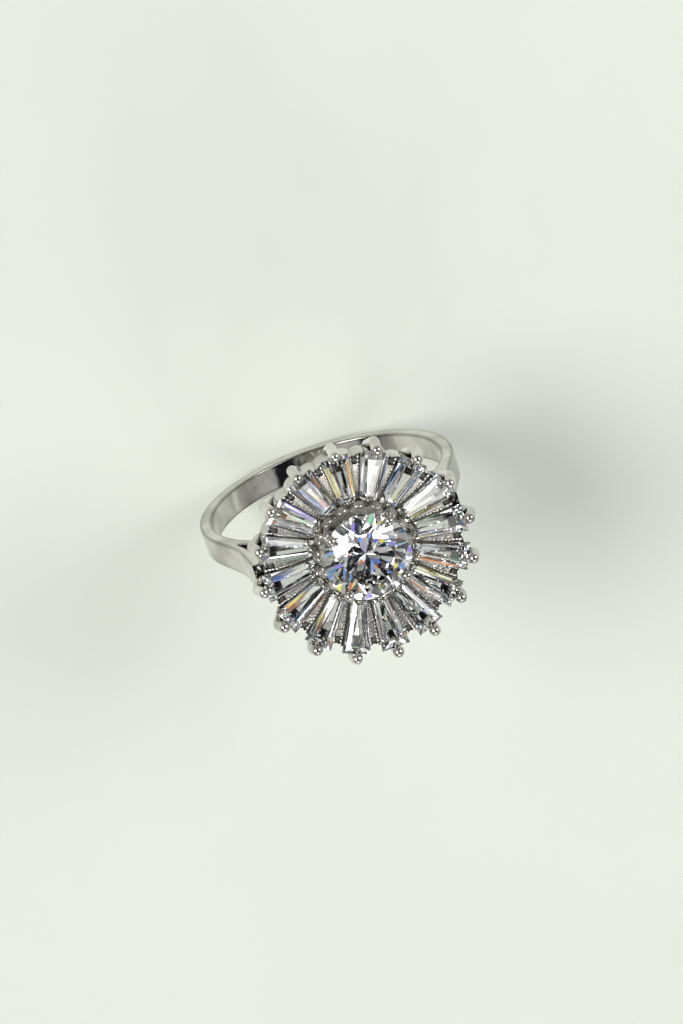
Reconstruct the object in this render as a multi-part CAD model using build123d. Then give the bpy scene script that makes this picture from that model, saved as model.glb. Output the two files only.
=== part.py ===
from build123d import *
import os
from math import acos, atan2, cos, hypot, radians, sin, tan

os.makedirs("parts", exist_ok=True)

# A ballerina-style cocktail ring. The frame's origin is the centre of the finger hole,
# +Y runs along the finger and +Z points out of the head. Millimetres and degrees.

# Finger hole and hoop. The hoop thins where it bridges the hole under the head.
bore_radius = 9.05
band_thickness = 0.95
bridge_thickness = 0.65
band_width = 2.0
edge_round = 0.12

# Shoulders that leave the hoop at its sides, bend below the gallery and rise to its wall
arm_lean = 4
arm_lap = 0.55
arm_thickness = 0.85
arm_top_width = 2.3
arm_bend_share = 0.285
arm_bend_drop = 4.05
arm_outstand = 0.45
crotch_turn = 8.3
crotch_round = 0.12

# Centre stone: a round brilliant
centre_radius = 3.25
centre_lift = 3.72
centre_girdle = 0.2
table_share = 0.57
crown_angle = 34.5
pavilion_angle = 40.75
star_share = 0.5
lower_half_share = 0.77

# Tapered baguettes round it, with a gap to the centre stone and to each other
stone_count = 16
stone_length = 4.04
well_gap = 0.47
stone_inner_gap = 0.28
stone_outer_gap = 0.91
stone_girdle = 0.12
stone_crown = 0.36
stone_pavilion = 0.82
stone_lift = 2.1
dish_angle = 12.5

# A baguette's steps: how far down the crown or the pavilion each starts, and its slope
crown_steps = ((0, 48), (0.55, 30))
pavilion_steps = ((0, 60), (0.5, 45), (0.8, 32))

# Gallery cup: a ribbed and scalloped wall under the stones' outer ends
head_lift = 1.75
rim_inset = 0.31
rim_drop = 0.62
gallery_flare = 0.12
wall_thickness = 0.55
scallop_depth = 0.28
rib_height = 0.13
ribs_per_stone = 3

# Seat frame: the collet round the centre, its floor and the bars between the stones
collet_wall = 0.42
collet_depth = 1.75
floor_bore_radius = 1.35
floor_thickness = 0.4
collar_wall = 0.6
bar_lap = 0.33
bar_drop = 0.3
bar_depth = 1.25

# Wires over the baguettes' outer ends
outer_wire_radius = 0.39
outer_tip_radius = 0.44
outer_tip_reach = 0.25
outer_tip_lift = 0.42
outer_foot_inset = 0.1
outer_foot_lift = 0.2
outer_knee_gap = 0.2
outer_bend = 0.9

# Wires over the baguettes' inner ends
inner_wire_radius = 0.2
inner_tip_radius = 0.27
inner_tip_reach = 0.14
inner_tip_lift = 0.33
inner_stand_gap = 0.08
inner_foot_lift = 0.3
inner_knee_drop = 0.05
inner_bend = 0.15

# Wires over the centre stone, and the rails that tie them into a basket
centre_wire_radius = 0.34
centre_tip_radius = 0.4
centre_tip_inset = 0.12
centre_tip_lift = 0.5
centre_wire_count = 4
centre_wire_turn = 45
centre_foot_share = 0.6
centre_knee_out = 0.15
centre_knee_drop = 0.15
centre_bend = 0.35
rail_wire_radius = 0.26
rail_notch = 0.12
lower_rail_gap = 0.1
upper_rail_lift = 2.2

# Gap left for solder and for the stones in their seats
joint_gap = 0.01

# How far a cutting shape runs past the metal
spare = 1.0

# Places worked out from the sizes above
stone_pitch = 360 / stone_count
dish = radians(dish_angle)
band_outer_radius = bore_radius + band_thickness
bridge_radius = bore_radius + bridge_thickness
gallery_base = bore_radius + head_lift
centre_girdle_z = gallery_base + centre_lift
stone_inner_radius = centre_radius + well_gap
stone_outer_radius = stone_inner_radius + stone_length * cos(dish)
stone_inner_width = 2 * stone_inner_radius * tan(radians(stone_pitch / 2)) - stone_inner_gap
stone_outer_width = 2 * stone_outer_radius * tan(radians(stone_pitch / 2)) - stone_outer_gap
girdle_inner_z = gallery_base + stone_lift
girdle_outer_z = girdle_inner_z + stone_length * sin(dish)
gallery_top = girdle_outer_z - rim_drop
gallery_height = gallery_top - gallery_base
gallery_base_radius = stone_outer_radius - rim_inset
gallery_top_radius = gallery_base_radius + gallery_flare
gallery_inner_radius = gallery_base_radius - scallop_depth - wall_thickness
collet_bore_radius = stone_inner_radius - collet_wall
collet_top = girdle_inner_z - stone_girdle / 2
collet_bottom = collet_top - collet_depth
floor_top = collet_bottom + floor_thickness
centre_foot_radius = centre_radius * centre_foot_share
centre_knee_radius = centre_radius + centre_knee_out
centre_knee_z = centre_girdle_z - centre_knee_drop


def point_at(radius, angle, height):
    """A point given by its radius and angle about the head's axis, and its height."""
    turn = radians(angle)
    return Vector(radius * cos(turn), radius * sin(turn), height)


def facet(solid, first, second, third, inside):
    """Cuts the solid flat through three points and keeps the side that holds inside."""
    normal = (second - first).cross(third - first).normalized()
    if normal.dot(inside - first) > 0:
        normal = normal * -1
    return split(solid, bisect_by=Plane(origin=first, z_dir=normal), keep=Keep.BOTTOM)


# ---------------------------------------------------------------- shank

def other(place):
    """The same place on the other side of the ring."""
    return (-place[0], place[1])


def shoulder_places():
    """Where a shoulder's outside leaves the hoop along a tangent, bends and ends."""
    end = (gallery_base_radius + rib_height + arm_outstand, gallery_base + arm_lap)
    bend_z = gallery_base - arm_bend_drop
    bend = (end[0] + (end[1] - bend_z) * tan(radians(arm_lean)), bend_z)
    turn = atan2(bend[1], bend[0]) - acos(band_outer_radius / hypot(bend[0], bend[1]))
    start = (band_outer_radius * cos(turn), band_outer_radius * sin(turn))
    return start, bend, end


def side_outline():
    """The shank seen along the finger: the hoop, its bridge and the two shoulders."""
    start, bend, end = shoulder_places()
    crotch_angle = atan2(start[1], start[0]) + radians(crotch_turn)
    crotch = (bridge_radius * cos(crotch_angle), bridge_radius * sin(crotch_angle))
    run = hypot(bend[0] - start[0], bend[1] - start[1])
    turn = atan2(start[1], start[0]) - radians(arm_lean)
    arm_bend = arm_bend_share * run / abs(tan(turn / 2))
    foot = (end[0] - arm_thickness, end[1])
    middle = ((end[0] + bend[0]) / 2 - arm_thickness, (end[1] + bend[1]) / 2)
    with BuildSketch(Plane.XZ) as sketch:
        with BuildLine():
            ThreePointArc(other(crotch), (0, bridge_radius), crotch)
            Spline(crotch, middle, foot)
            Line(foot, end)
            FilletPolyline(end, bend, start, radius=arm_bend)
            ThreePointArc(start, (0, -band_outer_radius), other(start))
            FilletPolyline(other(start), other(bend), other(end), radius=arm_bend)
            Line(other(end), other(foot))
            Spline(other(foot), other(middle), other(crotch))
        make_face()
        fillet(sketch.vertices().sort_by_distance(crotch)[0], crotch_round)
        fillet(sketch.vertices().sort_by_distance(other(crotch))[0], crotch_round)
        Circle(bore_radius, mode=Mode.SUBTRACT)
    return sketch.sketch


def front_outline():
    """The shank seen along X: a straight band that widens a little from the hoop's middle up."""
    half = band_width / 2
    top_half = arm_top_width / 2
    top = gallery_base + arm_lap + spare
    low = -band_outer_radius - spare
    with BuildSketch(Plane.YZ) as sketch:
        with BuildLine():
            right = Spline((half, 0), (top_half, top), tangents=((0, 1), (0, 1)))
            left = mirror(right, about=Plane.YZ)
            Line(right @ 1, left @ 1)
            Polyline((half, 0), (half, low), (-half, low), (-half, 0))
        make_face()
    return sketch.sketch


def is_long(edge):
    """True for the edges that run along the shank, not across it."""
    box = edge.bounding_box()
    return box.size.Y < band_width / 2 and max(box.size.X, box.size.Z) > arm_thickness + edge_round


def make_shank():
    reach = gallery_top
    hoop = extrude(side_outline(), amount=reach, both=True)
    front = extrude(front_outline(), amount=reach, both=True)
    shank = hoop & front
    shank = fillet(shank.edges().filter_by(is_long), edge_round)
    return shank - gallery_envelope(joint_gap)


# ---------------------------------------------------------------- gallery cup

def ribbed_outline(radius, height, grow):
    """One scallop per stone, each made of rounded ribs, at this height."""
    step = stone_pitch / ribs_per_stone
    with BuildSketch(Plane.XY.offset(height)) as sketch:
        with BuildLine():
            for rib in range(stone_count * ribs_per_stone):
                start = (rib - 0.5) * step
                ends = []
                for angle in (start, start + step):
                    ends.append(point_at(scallop_radius(radius, angle) + grow, angle, 0))
                crest = scallop_radius(radius, start + step / 2) + rib_height + grow
                ThreePointArc(ends[0], point_at(crest, start + step / 2, 0), ends[1])
        make_face()
    return sketch.sketch


def scallop_radius(radius, angle):
    """The wall's radius, full at a stone's middle and drawn in between two stones."""
    share = (1 - cos(radians(angle * stone_count))) / 2
    return radius - scallop_depth * share


def gallery_envelope(grow):
    """The cup's outside as a solid block."""
    low = ribbed_outline(gallery_base_radius, gallery_base - grow, grow)
    high = ribbed_outline(gallery_top_radius, gallery_top, grow)
    return loft([low, high], ruled=True)


def make_gallery_cup(stones, wires):
    inner_high = gallery_inner_radius + gallery_flare
    middle = gallery_base + gallery_height / 2
    hollow = Pos(0, 0, middle) * Cone(gallery_inner_radius, inner_high, gallery_height + joint_gap)
    return gallery_envelope(0) - hollow - stones - wires


# ---------------------------------------------------------------- baguettes

def steps_down(steps, height, half_girdle):
    """Each step's distance from the girdle's middle, its inset from the outline and its slope."""
    inset = 0
    placed = []
    for index, (share, slope) in enumerate(steps):
        if index:
            above, above_slope = steps[index - 1]
            inset += (share - above) * height / tan(radians(above_slope))
        placed.append((half_girdle + share * height, inset, slope))
    return placed


def baguette(grow):
    """A step-cut tapered stone. X runs outwards from the inner end, Z is up from the girdle."""
    inner = stone_inner_width / 2
    outer = stone_outer_width / 2
    half_girdle = stone_girdle / 2
    corners = [
        Vector(0, -inner), Vector(stone_length, -outer), Vector(stone_length, outer), Vector(0, inner)
    ]
    with BuildSketch() as plan:
        with BuildLine():
            Polyline(*corners, close=True)
        make_face()
    outline = offset(plan.sketch, amount=grow, kind=Kind.INTERSECTION) if grow else plan.sketch
    low = -half_girdle - stone_pavilion
    high = half_girdle + stone_crown
    solid = Pos(0, 0, low - grow) * extrude(outline, amount=high - low + 2 * grow)
    crown = steps_down(crown_steps, stone_crown, half_girdle)
    pavilion = steps_down(pavilion_steps, stone_pavilion, half_girdle)
    middle = Vector(stone_length / 2, 0, 0)
    for index in range(4):
        start = corners[index]
        along = (corners[(index + 1) % 4] - start).normalized()
        inward = Vector(-along.Y, along.X, 0)
        for side, steps in ((1, crown), (-1, pavilion)):
            for height, inset, slope in steps:
                tilt = radians(slope)
                up = inward * cos(tilt) + Vector(0, 0, side * sin(tilt))
                out = Vector(0, 0, side * cos(tilt)) - inward * sin(tilt)
                first = start + inward * inset + Vector(0, 0, side * height) + out * grow
                solid = facet(solid, first, first + along, first + up, middle)
    return solid


def set_baguette(stone, index):
    """Puts a stone in its place: tilted up by the dish angle and turned to its scallop."""
    seat = Pos(stone_inner_radius, 0, girdle_inner_z) * Rot(0, -dish_angle, 0)
    return Rot(0, 0, index * stone_pitch) * seat * stone


# ---------------------------------------------------------------- centre stone

def make_centre_stone():
    """A round brilliant with its table, stars, mains, halves and pavilion."""
    radius = centre_radius
    girdle_top = centre_girdle_z + centre_girdle / 2
    girdle_bottom = centre_girdle_z - centre_girdle / 2
    table = table_share * radius
    crown_rise = tan(radians(crown_angle))
    pavilion_rise = tan(radians(pavilion_angle))
    table_z = girdle_top + (radius - table) * crown_rise
    culet_z = girdle_bottom - radius * pavilion_rise
    table_middle = table * cos(radians(22.5))
    star = table_middle + star_share * (radius - table_middle)
    star_z = girdle_top + (radius - star * cos(radians(22.5))) * crown_rise
    lower = (1 - lower_half_share) * radius
    lower_z = girdle_bottom - (radius - lower * cos(radians(22.5))) * pavilion_rise
    height = table_z - culet_z
    solid = Pos(0, 0, culet_z + height / 2) * Cylinder(radius, height)
    inside = Vector(0, 0, centre_girdle_z)
    culet = Vector(0, 0, culet_z)
    for main in range(8):
        angle = main * 45
        star_left = point_at(star, angle - 22.5, star_z)
        star_right = point_at(star, angle + 22.5, star_z)
        corner = point_at(table, angle, table_z)
        next_corner = point_at(table, angle + 45, table_z)
        solid = facet(solid, corner, star_left, star_right, inside)
        solid = facet(solid, corner, next_corner, star_right, inside)
        lower_left = point_at(lower, angle - 22.5, lower_z)
        lower_right = point_at(lower, angle + 22.5, lower_z)
        solid = facet(solid, culet, lower_left, lower_right, inside)
        top = point_at(radius, angle, girdle_top)
        bottom = point_at(radius, angle, girdle_bottom)
        halves = ((-22.5, star_left, lower_left), (22.5, star_right, lower_right))
        for turn, star_point, lower_point in halves:
            solid = facet(solid, top, point_at(radius, angle + turn, girdle_top), star_point, inside)
            solid = facet(solid, bottom, point_at(radius, angle + turn, girdle_bottom), lower_point, inside)
    return solid


# ---------------------------------------------------------------- wires

def bent_wire(places, wire_radius, tip_radius, bend):
    """A round wire through these places in the XZ plane, with a ball on its last one."""
    path = FilletPolyline(*[(x, 0, z) for x, z in places], radius=bend)
    start = Plane(origin=path @ 0, z_dir=path % 0)
    wire = sweep(start * Circle(wire_radius), path=path)
    last_x, last_z = places[-1]
    return wire + Pos(last_x, 0, last_z) * Sphere(tip_radius)


def outer_wire(grow):
    """A prong that climbs the outside of the gallery and bends in over a stone's outer end."""
    foot = (gallery_base_radius + rib_height - outer_foot_inset, gallery_base + outer_foot_lift)
    knee = (stone_outer_radius + outer_wire_radius + outer_knee_gap, gallery_top)
    tip = (stone_outer_radius + outer_tip_reach, girdle_outer_z + outer_tip_lift)
    return bent_wire((foot, knee, tip), outer_wire_radius + grow, outer_tip_radius + grow, outer_bend)


def inner_wire(grow):
    """A small prong that stands in the collet and bends out over a stone's inner end."""
    stand = stone_inner_radius - inner_wire_radius - inner_stand_gap
    foot = (stand, floor_top + inner_foot_lift)
    knee = (stand, collet_top - inner_knee_drop)
    tip = (stone_inner_radius + inner_tip_reach, girdle_inner_z + inner_tip_lift)
    return bent_wire((foot, knee, tip), inner_wire_radius + grow, inner_tip_radius + grow, inner_bend)


def centre_wire(grow):
    """One of the centre stone's four prongs: it stands on the collet's floor."""
    foot = (centre_foot_radius, floor_top)
    knee = (centre_knee_radius, centre_knee_z)
    tip = (centre_radius - centre_tip_inset, centre_girdle_z + centre_tip_lift)
    return bent_wire((foot, knee, tip), centre_wire_radius + grow, centre_tip_radius + grow, centre_bend)


def centre_wire_radius_at(height):
    """How far out the middle of a centre prong's straight stretch is at this height."""
    share = (height - floor_top) / (centre_knee_z - floor_top)
    return centre_foot_radius + (centre_knee_radius - centre_foot_radius) * share


def around(solid, count, first=0.0):
    """Copies of a solid, evenly turned about the head's axis."""
    return [Rot(0, 0, first + 360 * index / count) * solid for index in range(count)]


def make_rail(height, centre_cutters):
    """A ring of wire inside the four centre prongs, notched to take them."""
    radius = centre_wire_radius_at(height) - centre_wire_radius - rail_wire_radius + rail_notch
    return Pos(0, 0, height) * Torus(radius, rail_wire_radius) - centre_cutters


# ---------------------------------------------------------------- seat frame

def seat_bar():
    """A bar between two stones, from the collet to the gallery's wall, sloping with the dish."""
    start = collet_bore_radius + collet_wall / 2
    end = gallery_inner_radius + gallery_flare
    inner = stone_inner_gap / 2 + bar_lap / 2
    outer = stone_outer_gap / 2 + bar_lap / 2
    with BuildSketch() as plan:
        with BuildLine():
            Polyline((start, -inner), (end, -outer), (end, outer), (start, inner), close=True)
        make_face()
    tall = extrude(plan.sketch, amount=2 * gallery_top)
    top_z = girdle_inner_z - bar_drop
    slope = (-sin(dish), 0, cos(dish))
    bar = split(tall, bisect_by=Plane(origin=(stone_inner_radius, 0, top_z), z_dir=slope), keep=Keep.BOTTOM)
    low = Plane(origin=(stone_inner_radius, 0, top_z - bar_depth), z_dir=slope)
    return split(bar, bisect_by=low, keep=Keep.TOP)


def make_seat_frame(stones, wires):
    """The collet and its bars, cut for the stones and with sockets for the wires that stand in it."""
    outer = collet_bore_radius + collet_wall
    middle = collet_bottom + collet_depth / 2
    tube = Pos(0, 0, middle) * Cylinder(outer, collet_depth)
    bore = Pos(0, 0, middle + floor_thickness) * Cylinder(collet_bore_radius, collet_depth)
    drain = Pos(0, 0, collet_bottom) * Cylinder(floor_bore_radius, 4 * floor_thickness)
    frame = tube - bore - drain
    for bar in around(seat_bar(), stone_count, stone_pitch / 2):
        frame = frame + bar
    return (frame & gallery_inside()) - stones - wires


def gallery_inside():
    """The space inside the gallery's wall, less the joint gap."""
    low = gallery_inner_radius - joint_gap
    height = gallery_height * 2
    slope = gallery_flare / gallery_height
    return Pos(0, 0, gallery_base + height / 2) * Cone(low, low + slope * height, height)


def make_base_collar():
    """A short tube that stands on the bridge and carries the collet's floor."""
    low = bore_radius
    height = collet_bottom - joint_gap - low
    outer = Pos(0, 0, low + height / 2) * Cylinder(floor_bore_radius + collar_wall, height)
    inner = Pos(0, 0, low + height / 2) * Cylinder(floor_bore_radius, 2 * height)
    bridge = Rot(90, 0, 0) * Cylinder(bridge_radius + joint_gap, 4 * bore_radius)
    return outer - inner - bridge


# ---------------------------------------------------------------- assembly

def write(name, solid):
    solid.label = name
    export_step(solid, f"parts/{name}.step")
    print(name, round(solid.volume, 3), len(solid.solids()))


def main():
    stone = baguette(0)
    stone_cutter = baguette(joint_gap)
    stone_cutters = [set_baguette(stone_cutter, index) for index in range(stone_count)]
    outer_cutters = around(outer_wire(joint_gap), stone_count)
    inner_cutters = around(inner_wire(joint_gap), stone_count)
    centre_cutters = around(centre_wire(joint_gap), centre_wire_count, centre_wire_turn)

    write("shank", make_shank() - outer_cutters)
    write("base_collar", make_base_collar())
    write("gallery_cup", make_gallery_cup(stone_cutters, outer_cutters))
    write("seat_frame", make_seat_frame(stone_cutters, inner_cutters + centre_cutters))
    lower_rail_z = floor_top + rail_wire_radius + lower_rail_gap
    write("basket_lower_rail", make_rail(lower_rail_z, centre_cutters))
    write("basket_upper_rail", make_rail(gallery_base + upper_rail_lift, centre_cutters))
    centre_stone = make_centre_stone()
    write("centre_stone", centre_stone)
    for index in range(stone_count):
        write(f"baguette_{index + 1:02d}", set_baguette(stone, index))
    outer_prong = outer_wire(0) - set_baguette(stone_cutter, 0)
    for index, prong in enumerate(around(outer_prong, stone_count)):
        write(f"outer_prong_{index + 1:02d}", prong)
    inner_prong = inner_wire(0) - set_baguette(stone_cutter, 0)
    for index, prong in enumerate(around(inner_prong, stone_count)):
        write(f"inner_prong_{index + 1:02d}", prong)
    for index, wire in enumerate(around(centre_wire(0), centre_wire_count, centre_wire_turn)):
        write(f"centre_prong_{index + 1}", wire - centre_stone)


main()
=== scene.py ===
import math
import random

import bpy
import bmesh
from mathutils import Matrix, Vector


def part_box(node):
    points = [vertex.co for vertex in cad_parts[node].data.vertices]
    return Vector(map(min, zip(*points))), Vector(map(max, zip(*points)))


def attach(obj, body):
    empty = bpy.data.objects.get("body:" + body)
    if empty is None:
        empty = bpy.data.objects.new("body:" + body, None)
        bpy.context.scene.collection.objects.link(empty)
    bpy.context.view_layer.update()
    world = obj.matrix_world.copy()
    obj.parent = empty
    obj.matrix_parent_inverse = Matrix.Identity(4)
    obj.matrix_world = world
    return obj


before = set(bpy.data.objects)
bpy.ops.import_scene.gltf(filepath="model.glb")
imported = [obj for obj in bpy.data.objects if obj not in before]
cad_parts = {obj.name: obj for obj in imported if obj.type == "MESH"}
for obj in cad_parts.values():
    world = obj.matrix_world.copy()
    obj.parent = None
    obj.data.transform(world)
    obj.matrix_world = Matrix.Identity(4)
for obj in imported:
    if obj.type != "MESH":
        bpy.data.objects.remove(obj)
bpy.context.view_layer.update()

MM = 0.001
WHITE = (1, 1, 1)

# Places taken from the CAD nodes, in metres
SHANK_LOW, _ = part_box("shank")
FRAME_LOW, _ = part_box("seat_frame")
WALL_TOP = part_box("gallery_cup")[1].z
STONE_COUNT = sum(1 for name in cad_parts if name.startswith("baguette_"))
PITCH = 2 * math.pi / STONE_COUNT


# ---------------------------------------------------------------- node helpers

# The sockets of a colour Mix node, whose names repeat
MIX_FACTOR, MIX_FIRST, MIX_SECOND, MIX_RESULT = 0, 6, 7, 2


class Tree:
    """A small helper that adds and joins nodes in one node tree."""

    def __init__(self, tree):
        self.tree = tree
        tree.nodes.clear()

    def add(self, kind, **values):
        node = self.tree.nodes.new(kind)
        for key, value in values.items():
            setattr(node, key, value)
        return node

    def join(self, source, target):
        self.tree.links.new(source, target)

    def mix(self, factor, first, second):
        """A blend of two colours. Any of the three may be a socket or a fixed value."""
        node = self.add("ShaderNodeMix", data_type="RGBA")
        for socket, value in ((MIX_FACTOR, factor), (MIX_FIRST, first), (MIX_SECOND, second)):
            if isinstance(value, bpy.types.NodeSocket):
                self.join(value, node.inputs[socket])
            else:
                node.inputs[socket].default_value = value
        return node.outputs[MIX_RESULT]


def noise(t, coords, scale, detail=3.0, rough=0.5):
    node = t.add("ShaderNodeTexNoise")
    node.inputs["Scale"].default_value = scale
    node.inputs["Detail"].default_value = detail
    node.inputs["Roughness"].default_value = rough
    t.join(coords.outputs["Object"], node.inputs["Vector"])
    return node


def ramp(t, source, stops):
    node = t.add("ShaderNodeValToRGB")
    node.color_ramp.elements[0].position = stops[0][0]
    node.color_ramp.elements[0].color = (*stops[0][1], 1)
    node.color_ramp.elements[1].position = stops[-1][0]
    node.color_ramp.elements[1].color = (*stops[-1][1], 1)
    for place, colour in stops[1:-1]:
        node.color_ramp.elements.new(place).color = (*colour, 1)
    t.join(source, node.inputs["Fac"])
    return node


def spread(t, source, low, high):
    """The middle of a noise's range, stretched from low to high."""
    node = t.add("ShaderNodeMapRange")
    node.inputs["From Min"].default_value = 0.3
    node.inputs["From Max"].default_value = 0.7
    node.inputs["To Min"].default_value = low
    node.inputs["To Max"].default_value = high
    t.join(source, node.inputs["Value"])
    return node


def shade_by(t, colour, source, stops):
    """The colour, darkened where the source says."""
    shade = ramp(t, source, stops)
    mix = t.add("ShaderNodeMix", data_type="RGBA", blend_type="MULTIPLY")
    mix.inputs[MIX_FACTOR].default_value = 1.0
    t.join(colour, mix.inputs[MIX_FIRST])
    t.join(shade.outputs["Color"], mix.inputs[MIX_SECOND])
    return mix.outputs[MIX_RESULT]


def near_surface(t, distance, inside):
    """The mask for painted shade: low near other surfaces or, with inside set, low near an edge."""
    node = t.add("ShaderNodeAmbientOcclusion", inside=inside)
    node.samples = 6
    node.inputs["Distance"].default_value = distance * MM
    return node.outputs["AO"]


# ---------------------------------------------------------------- materials

CLOUD_SCALE = 420.0
POLISH_SCALE = 1500.0
RECESS_SHADE_REACH = 0.3
RECESS_SHADE_STOPS = (0.5, 0.93)
EDGE_SHADE_REACH = 0.26
EDGE_SHADE_STOPS = (0.68, 0.93)
ZIRCONIA_IOR = 2.16
DRIFT_SCALE = 260.0


def new_material(name):
    """A material with a Principled shader, and its tree and object coordinates."""
    material = bpy.data.materials.new(name)
    material.use_nodes = True
    t = Tree(material.node_tree)
    coords = t.add("ShaderNodeTexCoord")
    out = t.add("ShaderNodeOutputMaterial")
    shader = t.add("ShaderNodeBsdfPrincipled")
    t.join(shader.outputs[0], out.inputs["Surface"])
    return material, t, coords, shader


def metal(name, light, dark, rough, bump_scale, bump_depth, recess_shade=1.0, edge=1.0):
    """Rhodium plate: cloudy tone, uneven polish, fine relief, painted shade in recesses and painted
    dark edges.
    """
    material, t, coords, shader = new_material(name)
    shader.inputs["Metallic"].default_value = 1.0
    cloud = noise(t, coords, CLOUD_SCALE, 4.0)
    colour = ramp(t, cloud.outputs["Fac"], [(0.3, dark), (0.62, light)]).outputs["Color"]
    # Painted shade: the colour darkens near other surfaces, in recesses and between parts, where
    # less light reaches.
    if recess_shade < 1:
        warm = (recess_shade, recess_shade * 0.96, recess_shade * 0.88)
        stops = [(RECESS_SHADE_STOPS[0], warm), (RECESS_SHADE_STOPS[1], WHITE)]
        colour = shade_by(t, colour, near_surface(t, RECESS_SHADE_REACH, False), stops)
    # Painted dark edges: the colour darkens near edges, standing in for the dark reflections that
    # rounded metal edges show.
    if edge < 1:
        edge_shade_tone = (edge, edge * 0.95, edge * 0.85)
        stops = [(EDGE_SHADE_STOPS[0], edge_shade_tone), (EDGE_SHADE_STOPS[1], WHITE)]
        colour = shade_by(t, colour, near_surface(t, EDGE_SHADE_REACH, True), stops)
    t.join(colour, shader.inputs["Base Color"])
    polish = noise(t, coords, POLISH_SCALE, 3.0)
    t.join(spread(t, polish.outputs["Fac"], *rough).outputs[0], shader.inputs["Roughness"])
    relief = noise(t, coords, bump_scale, 5.0, 0.6)
    bump = t.add("ShaderNodeBump")
    bump.inputs["Strength"].default_value = 1.0
    bump.inputs["Distance"].default_value = bump_depth * MM
    t.join(relief.outputs["Fac"], bump.inputs["Height"])
    t.join(bump.outputs["Normal"], shader.inputs["Normal"])
    return material


def crystal(name, warm, cool):
    """Clear cubic zirconia with a faint drift of tone through the stone."""
    material, t, coords, shader = new_material(name)
    shader.inputs["Transmission Weight"].default_value = 1.0
    shader.inputs["IOR"].default_value = ZIRCONIA_IOR
    shader.inputs["Roughness"].default_value = 0.0
    drift = noise(t, coords, DRIFT_SCALE, 2.0)
    tone = ramp(t, drift.outputs["Fac"], [(0.35, warm), (0.65, cool)])
    t.join(tone.outputs["Color"], shader.inputs["Base Color"])
    return material


# Each metal: light and dark tone, roughness range, relief's scale and depth in
# millimetres, then how much colour the painted shade in recesses and the painted dark edges keep
PALE = (0.72, 0.71, 0.665)
DEEP = (0.44, 0.43, 0.395)
shank_metal = metal(
    "shank_rhodium", PALE, DEEP, (0.05, 0.12), 700.0, 0.018, 0.2, 0.1)
prong_metal = metal(
    "prong_rhodium", (0.82, 0.81, 0.775), (0.5, 0.49, 0.46),
    (0.03, 0.09), 1200.0, 0.02, 0.08, 0.45)
gallery_metal = metal(
    "gallery_rhodium", PALE, DEEP, (0.06, 0.15), 1300.0, 0.04, 0.06, 0.12)
seat_metal = metal(
    "seat_rhodium", (0.9, 0.88, 0.83), (0.54, 0.52, 0.48),
    (0.12, 0.26), 2600.0, 0.08, 0.28)
bead_metal = metal(
    "bead_rhodium", (0.98, 0.97, 0.95), (0.86, 0.85, 0.82),
    (0.04, 0.1), 3200.0, 0.006, 0.5)
step_crystal = crystal("step_cut_crystal", (0.985, 0.985, 0.975), (0.975, 0.985, 0.995))
round_crystal = crystal("round_cut_crystal", (0.99, 0.99, 0.985), (0.98, 0.985, 0.995))


def material_for(name):
    if name == "shank":
        return shank_metal
    if name == "gallery_cup":
        return gallery_metal
    if name in ("seat_frame", "base_collar"):
        return seat_metal
    if name == "centre_stone":
        return round_crystal
    if name.startswith("baguette_"):
        return step_crystal
    return prong_metal


for name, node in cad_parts.items():
    for material_slot in node.material_slots:
        material_slot.material = material_for(name)


# ---------------------------------------------------------------- beading on the bars

DISH = math.radians(12.5)
BAR_START = 4.0 * MM
BAR_END = 7.2 * MM
BAR_TOP = 12.6 * MM
BAR_ORIGIN = 3.72 * MM
WALL_INNER = 6.5 * MM
BEADS_PER_ROW = 13
ROW_HALF_START = 0.05
ROW_HALF_GAIN = 0.27
ROW_STAGGER = 0.06
ROW_BEAD_START = 0.07
ROW_BEAD_GAIN = 0.075
BAR_SEED = 100

WELL_RADIUS = 3.28 * MM
WELL_TOP = FRAME_LOW.z + 1.7 * MM
WELL_LEVELS = 5
WELL_LEVEL_DROP = 0.25
WELL_BEADS_PER_STONE = 3
WELL_SEED = 41


def add_bead(mesh, place, radius, flat, spin):
    """A cast pip: a flattened, slightly uneven dome."""
    scale = Matrix.Diagonal((radius, radius, radius * flat, 1))
    shape = Matrix.Translation(place) @ spin @ scale
    bmesh.ops.create_icosphere(mesh, subdivisions=2, radius=1.0, matrix=shape)


def finish_piece(name, mesh, material):
    data = bpy.data.meshes.new(name)
    mesh.to_mesh(data)
    mesh.free()
    for face in data.polygons:
        face.use_smooth = True
    piece = bpy.data.objects.new(name, data)
    bpy.context.scene.collection.objects.link(piece)
    data.materials.append(material)
    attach(piece, "root")
    return piece


def bar_height(radius):
    if radius > WALL_INNER:
        return WALL_TOP
    return BAR_TOP + (radius - BAR_ORIGIN) * math.tan(DISH)


def bar_beading(index):
    """Two staggered rows of pips along one bar and over the wall's rim, larger towards the rim."""
    rng = random.Random(BAR_SEED + index)
    mesh = bmesh.new()
    angle = (index + 0.5) * PITCH
    for step in range(BEADS_PER_ROW):
        share = step / (BEADS_PER_ROW - 1)
        radius = BAR_START + (BAR_END - BAR_START) * share
        half = (ROW_HALF_START + ROW_HALF_GAIN * share) * MM
        for side in (-1, 1):
            out = radius + (ROW_STAGGER * side + rng.uniform(-0.02, 0.02)) * MM
            across = side * half + rng.uniform(-0.015, 0.015) * MM
            size = (ROW_BEAD_START + ROW_BEAD_GAIN * share) * MM * rng.uniform(0.85, 1.1)
            x = out * math.cos(angle) - across * math.sin(angle)
            y = out * math.sin(angle) + across * math.cos(angle)
            spin = Matrix.Rotation(angle, 4, "Z") @ Matrix.Rotation(-DISH, 4, "Y")
            place = Vector((x, y, bar_height(out)))
            add_bead(mesh, place, size, rng.uniform(0.75, 1.0), spin)
    return finish_piece(f"bar_beading_{index + 1:02d}", mesh, bead_metal)


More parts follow.
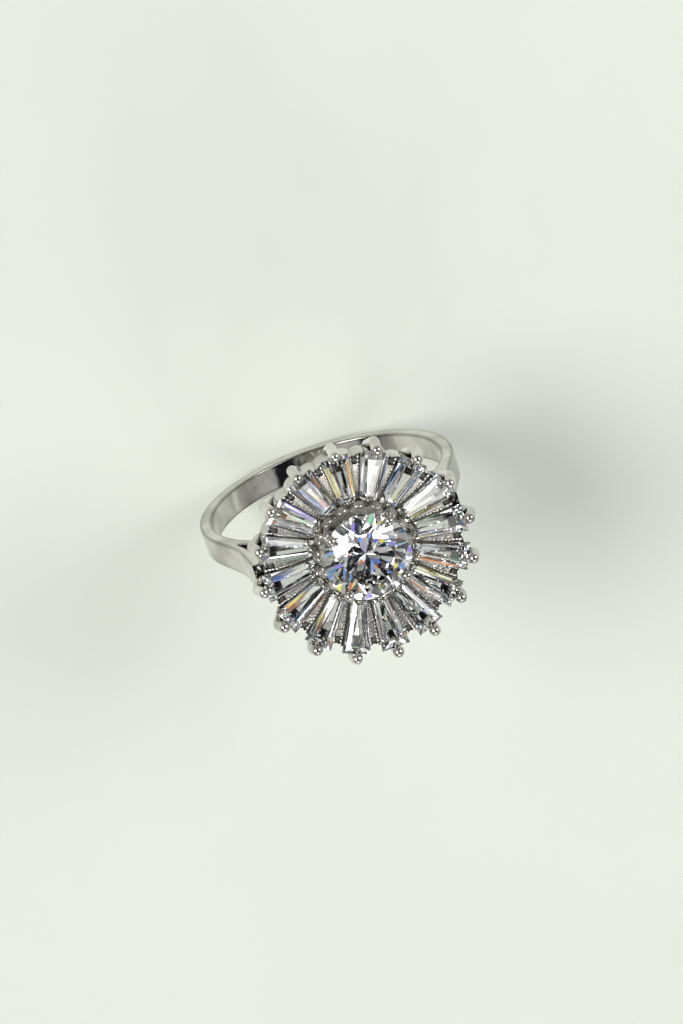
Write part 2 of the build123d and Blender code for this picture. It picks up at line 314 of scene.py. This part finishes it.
def well_beading():
    """Uneven cast pips round the collet's lip and down its wall, between the small prongs."""
    rng = random.Random(WELL_SEED)
    mesh = bmesh.new()
    for index in range(STONE_COUNT * WELL_BEADS_PER_STONE):
        for level in range(WELL_LEVELS):
            turn = index + 0.5 * (level % 2) + rng.uniform(-0.16, 0.16)
            angle = turn * PITCH / WELL_BEADS_PER_STONE
            radius = WELL_RADIUS + rng.uniform(-0.04, 0.02) * MM
            height = WELL_TOP - (WELL_LEVEL_DROP * level + rng.uniform(-0.03, 0.03)) * MM
            size = rng.uniform(0.11, 0.17) * MM
            place = Vector((radius * math.cos(angle), radius * math.sin(angle), height))
            spin = Matrix.Rotation(angle, 4, "Z")
            add_bead(mesh, place, size, rng.uniform(0.75, 1.0), spin)
    return finish_piece("well_beading", mesh, bead_metal)


for index in range(STONE_COUNT):
    bar_beading(index)
well_beading()


# ---------------------------------------------------------------- floor

FLOOR_RADIUS = 1.6
FLOOR_GAP = 0.02
FLOOR_TONES = [(0.3, (0.77, 0.795, 0.725)), (0.7, (0.8, 0.825, 0.755))]


def make_floor():
    """A pale, level floor just under the hoop."""
    mesh = bmesh.new()
    bmesh.ops.create_circle(mesh, cap_ends=True, radius=FLOOR_RADIUS, segments=96)
    data = bpy.data.meshes.new("floor")
    mesh.to_mesh(data)
    mesh.free()
    floor = bpy.data.objects.new("floor", data)
    floor.location = (0, 0, SHANK_LOW.z - FLOOR_GAP * MM)
    bpy.context.scene.collection.objects.link(floor)
    material, t, coords, shader = new_material("floor_paint")
    shader.inputs["Roughness"].default_value = 0.55
    mottle = noise(t, coords, 30.0, 4.0)
    tone = ramp(t, mottle.outputs["Fac"], FLOOR_TONES)
    t.join(tone.outputs["Color"], shader.inputs["Base Color"])
    data.materials.append(material)


# ---------------------------------------------------------------- light

# The dome's tone by height, from the horizon up
DOME_TONES = [
    (0.0, (0.6, 0.61, 0.57)),
    (0.2, (0.38, 0.385, 0.365)),
    (1.0, (0.56, 0.565, 0.555)),
]
# Soft boxes: azimuth, elevation, inner and outer radius in degrees, colour, strength
SOFT_BOXES = [
    (152, 48, 12, 21, (1.0, 0.99, 0.97), 9.5),
    (20, 46, 11, 20, (0.96, 0.98, 1.0), 4.6),
    (262, 42, 12, 24, (1.0, 0.99, 0.97), 3.6),
]
# Round dark flags: azimuth, elevation, inner and outer radius in degrees
FLAGS = [(100, 68, 21, 26), (60, 24, 8, 12), (205, 26, 9, 13), (320, 56, 9, 13)]
# Dark strips round the sky: azimuth and elevation of the direction each is square to
STRIPS = [(20, 12), (78, 8), (140, 20), (172, -6)]
STRIP_HALF_WIDTH = 0.045
FLAG_TONE = (0.012, 0.013, 0.018, 1)
# Colours of the sparks that stand for the stones' fire
FIRE = [
    (0.08, 0.3, 1.0), (1.0, 0.42, 0.08), (0.15, 0.4, 1.0), (0.95, 0.85, 0.2),
    (0.3, 0.58, 1.0), (1.0, 0.36, 0.12), (0.35, 0.88, 0.5), (0.42, 0.32, 1.0),
]
SPARK_COUNT = 58
SPARK_SEED = 7


def on_sky(azimuth, elevation):
    a, e = math.radians(azimuth), math.radians(elevation)
    return (math.cos(a) * math.cos(e), math.sin(a) * math.cos(e), math.sin(e))


def along(t, direction, where):
    """The cosine between the sky's direction and a fixed one."""
    dot = t.add("ShaderNodeVectorMath", operation="DOT_PRODUCT")
    dot.inputs[1].default_value = Vector(where).normalized()
    t.join(direction, dot.inputs[0])
    return dot.outputs["Value"]


def smooth_step(t, source, start, end):
    edge = t.add("ShaderNodeMapRange", interpolation_type="SMOOTHSTEP")
    edge.inputs["From Min"].default_value = start
    edge.inputs["From Max"].default_value = end
    t.join(source, edge.inputs["Value"])
    return edge.outputs["Result"]


def patch(t, direction, where, inner, outer):
    """The share of a soft-edged round patch in one direction of the sky."""
    start = math.cos(math.radians(outer))
    end = math.cos(math.radians(inner))
    return smooth_step(t, along(t, direction, where), start, end)


def strip(t, direction, normal):
    """The share of a narrow strip that runs round the sky, square to normal."""
    size = t.add("ShaderNodeMath", operation="ABSOLUTE")
    t.join(along(t, direction, normal), size.inputs[0])
    return smooth_step(t, size.outputs[0], STRIP_HALF_WIDTH * 1.5, STRIP_HALF_WIDTH)


def add_light(t, total, share, colour, strength):
    lit = t.add("ShaderNodeVectorMath", operation="SCALE")
    lit.inputs[0].default_value = Vector(colour) * strength
    t.join(share, lit.inputs["Scale"])
    add = t.add("ShaderNodeVectorMath", operation="ADD")
    t.join(total, add.inputs[0])
    t.join(lit.outputs["Vector"], add.inputs[1])
    return add.outputs["Vector"]


def make_world():
    """A pale dome with soft boxes and dark flags.

    Light bent by the stones also meets small coloured sparks. The camera itself
    sees only the dome.
    """
    world = bpy.data.worlds.new("studio")
    bpy.context.scene.world = world
    world.use_nodes = True
    t = Tree(world.node_tree)
    coords = t.add("ShaderNodeTexCoord")
    direction = coords.outputs["Generated"]
    out = t.add("ShaderNodeOutputWorld")
    back = t.add("ShaderNodeBackground")
    t.join(back.outputs[0], out.inputs["Surface"])
    split = t.add("ShaderNodeSeparateXYZ")
    t.join(direction, split.inputs[0])
    dome = ramp(t, split.outputs["Z"], DOME_TONES).outputs["Color"]

    total = dome
    for azimuth, elevation, inner, outer, colour, strength in SOFT_BOXES:
        share = patch(t, direction, on_sky(azimuth, elevation), inner, outer)
        total = add_light(t, total, share, colour, strength)

    shares = [patch(t, direction, on_sky(azimuth, elevation), inner, outer)
              for azimuth, elevation, inner, outer in FLAGS]
    shares += [strip(t, direction, on_sky(azimuth, elevation)) for azimuth, elevation in STRIPS]
    for share in shares:
        total = t.mix(share, total, FLAG_TONE)

    rng = random.Random(SPARK_SEED)
    sparkling = total
    for count in range(SPARK_COUNT):
        place = on_sky(rng.uniform(0, 360), rng.uniform(12, 84))
        size = rng.uniform(2.4, 6.0)
        strength = rng.uniform(0.7, 1.25)
        colour = (*(part * strength for part in FIRE[count % len(FIRE)]), 1)
        sparkling = t.mix(patch(t, direction, place, size * 0.5, size), sparkling, colour)

    path = t.add("ShaderNodeLightPath")
    bent = t.add("ShaderNodeMath", operation="GREATER_THAN")
    bent.inputs[1].default_value = 0.5
    t.join(path.outputs["Transmission Depth"], bent.inputs[0])
    seen = t.mix(bent.outputs[0], total, sparkling)
    seen = t.mix(path.outputs["Is Camera Ray"], seen, dome)
    t.join(seen, back.inputs["Color"])
    back.inputs["Strength"].default_value = 1.0


# ---------------------------------------------------------------- camera

CAMERA_PLACE = Vector((-24.41, 98.02, 273.38)) * MM
CAMERA_RIGHT = Vector((0.9361, -0.2943, 0.1924))
CAMERA_UP = Vector((0.3411, 0.8930, -0.2936))


def make_camera():
    data = bpy.data.cameras.new("camera")
    camera = bpy.data.objects.new("camera", data)
    bpy.context.scene.collection.objects.link(camera)
    back = CAMERA_RIGHT.cross(CAMERA_UP).normalized()
    up = back.cross(CAMERA_RIGHT).normalized()
    turn = Matrix((CAMERA_RIGHT.normalized(), up, back)).transposed().to_4x4()
    camera.matrix_world = Matrix.Translation(CAMERA_PLACE) @ turn
    data.sensor_width = 36.0
    data.lens = 135.62
    data.clip_start = 0.01
    data.clip_end = 10.0
    bpy.context.scene.camera = camera


make_floor()
make_world()
make_camera()

scene = bpy.context.scene
scene.view_settings.view_transform = "Standard"
scene.cycles.max_bounces = 28
scene.cycles.transmission_bounces = 26
scene.cycles.glossy_bounces = 12
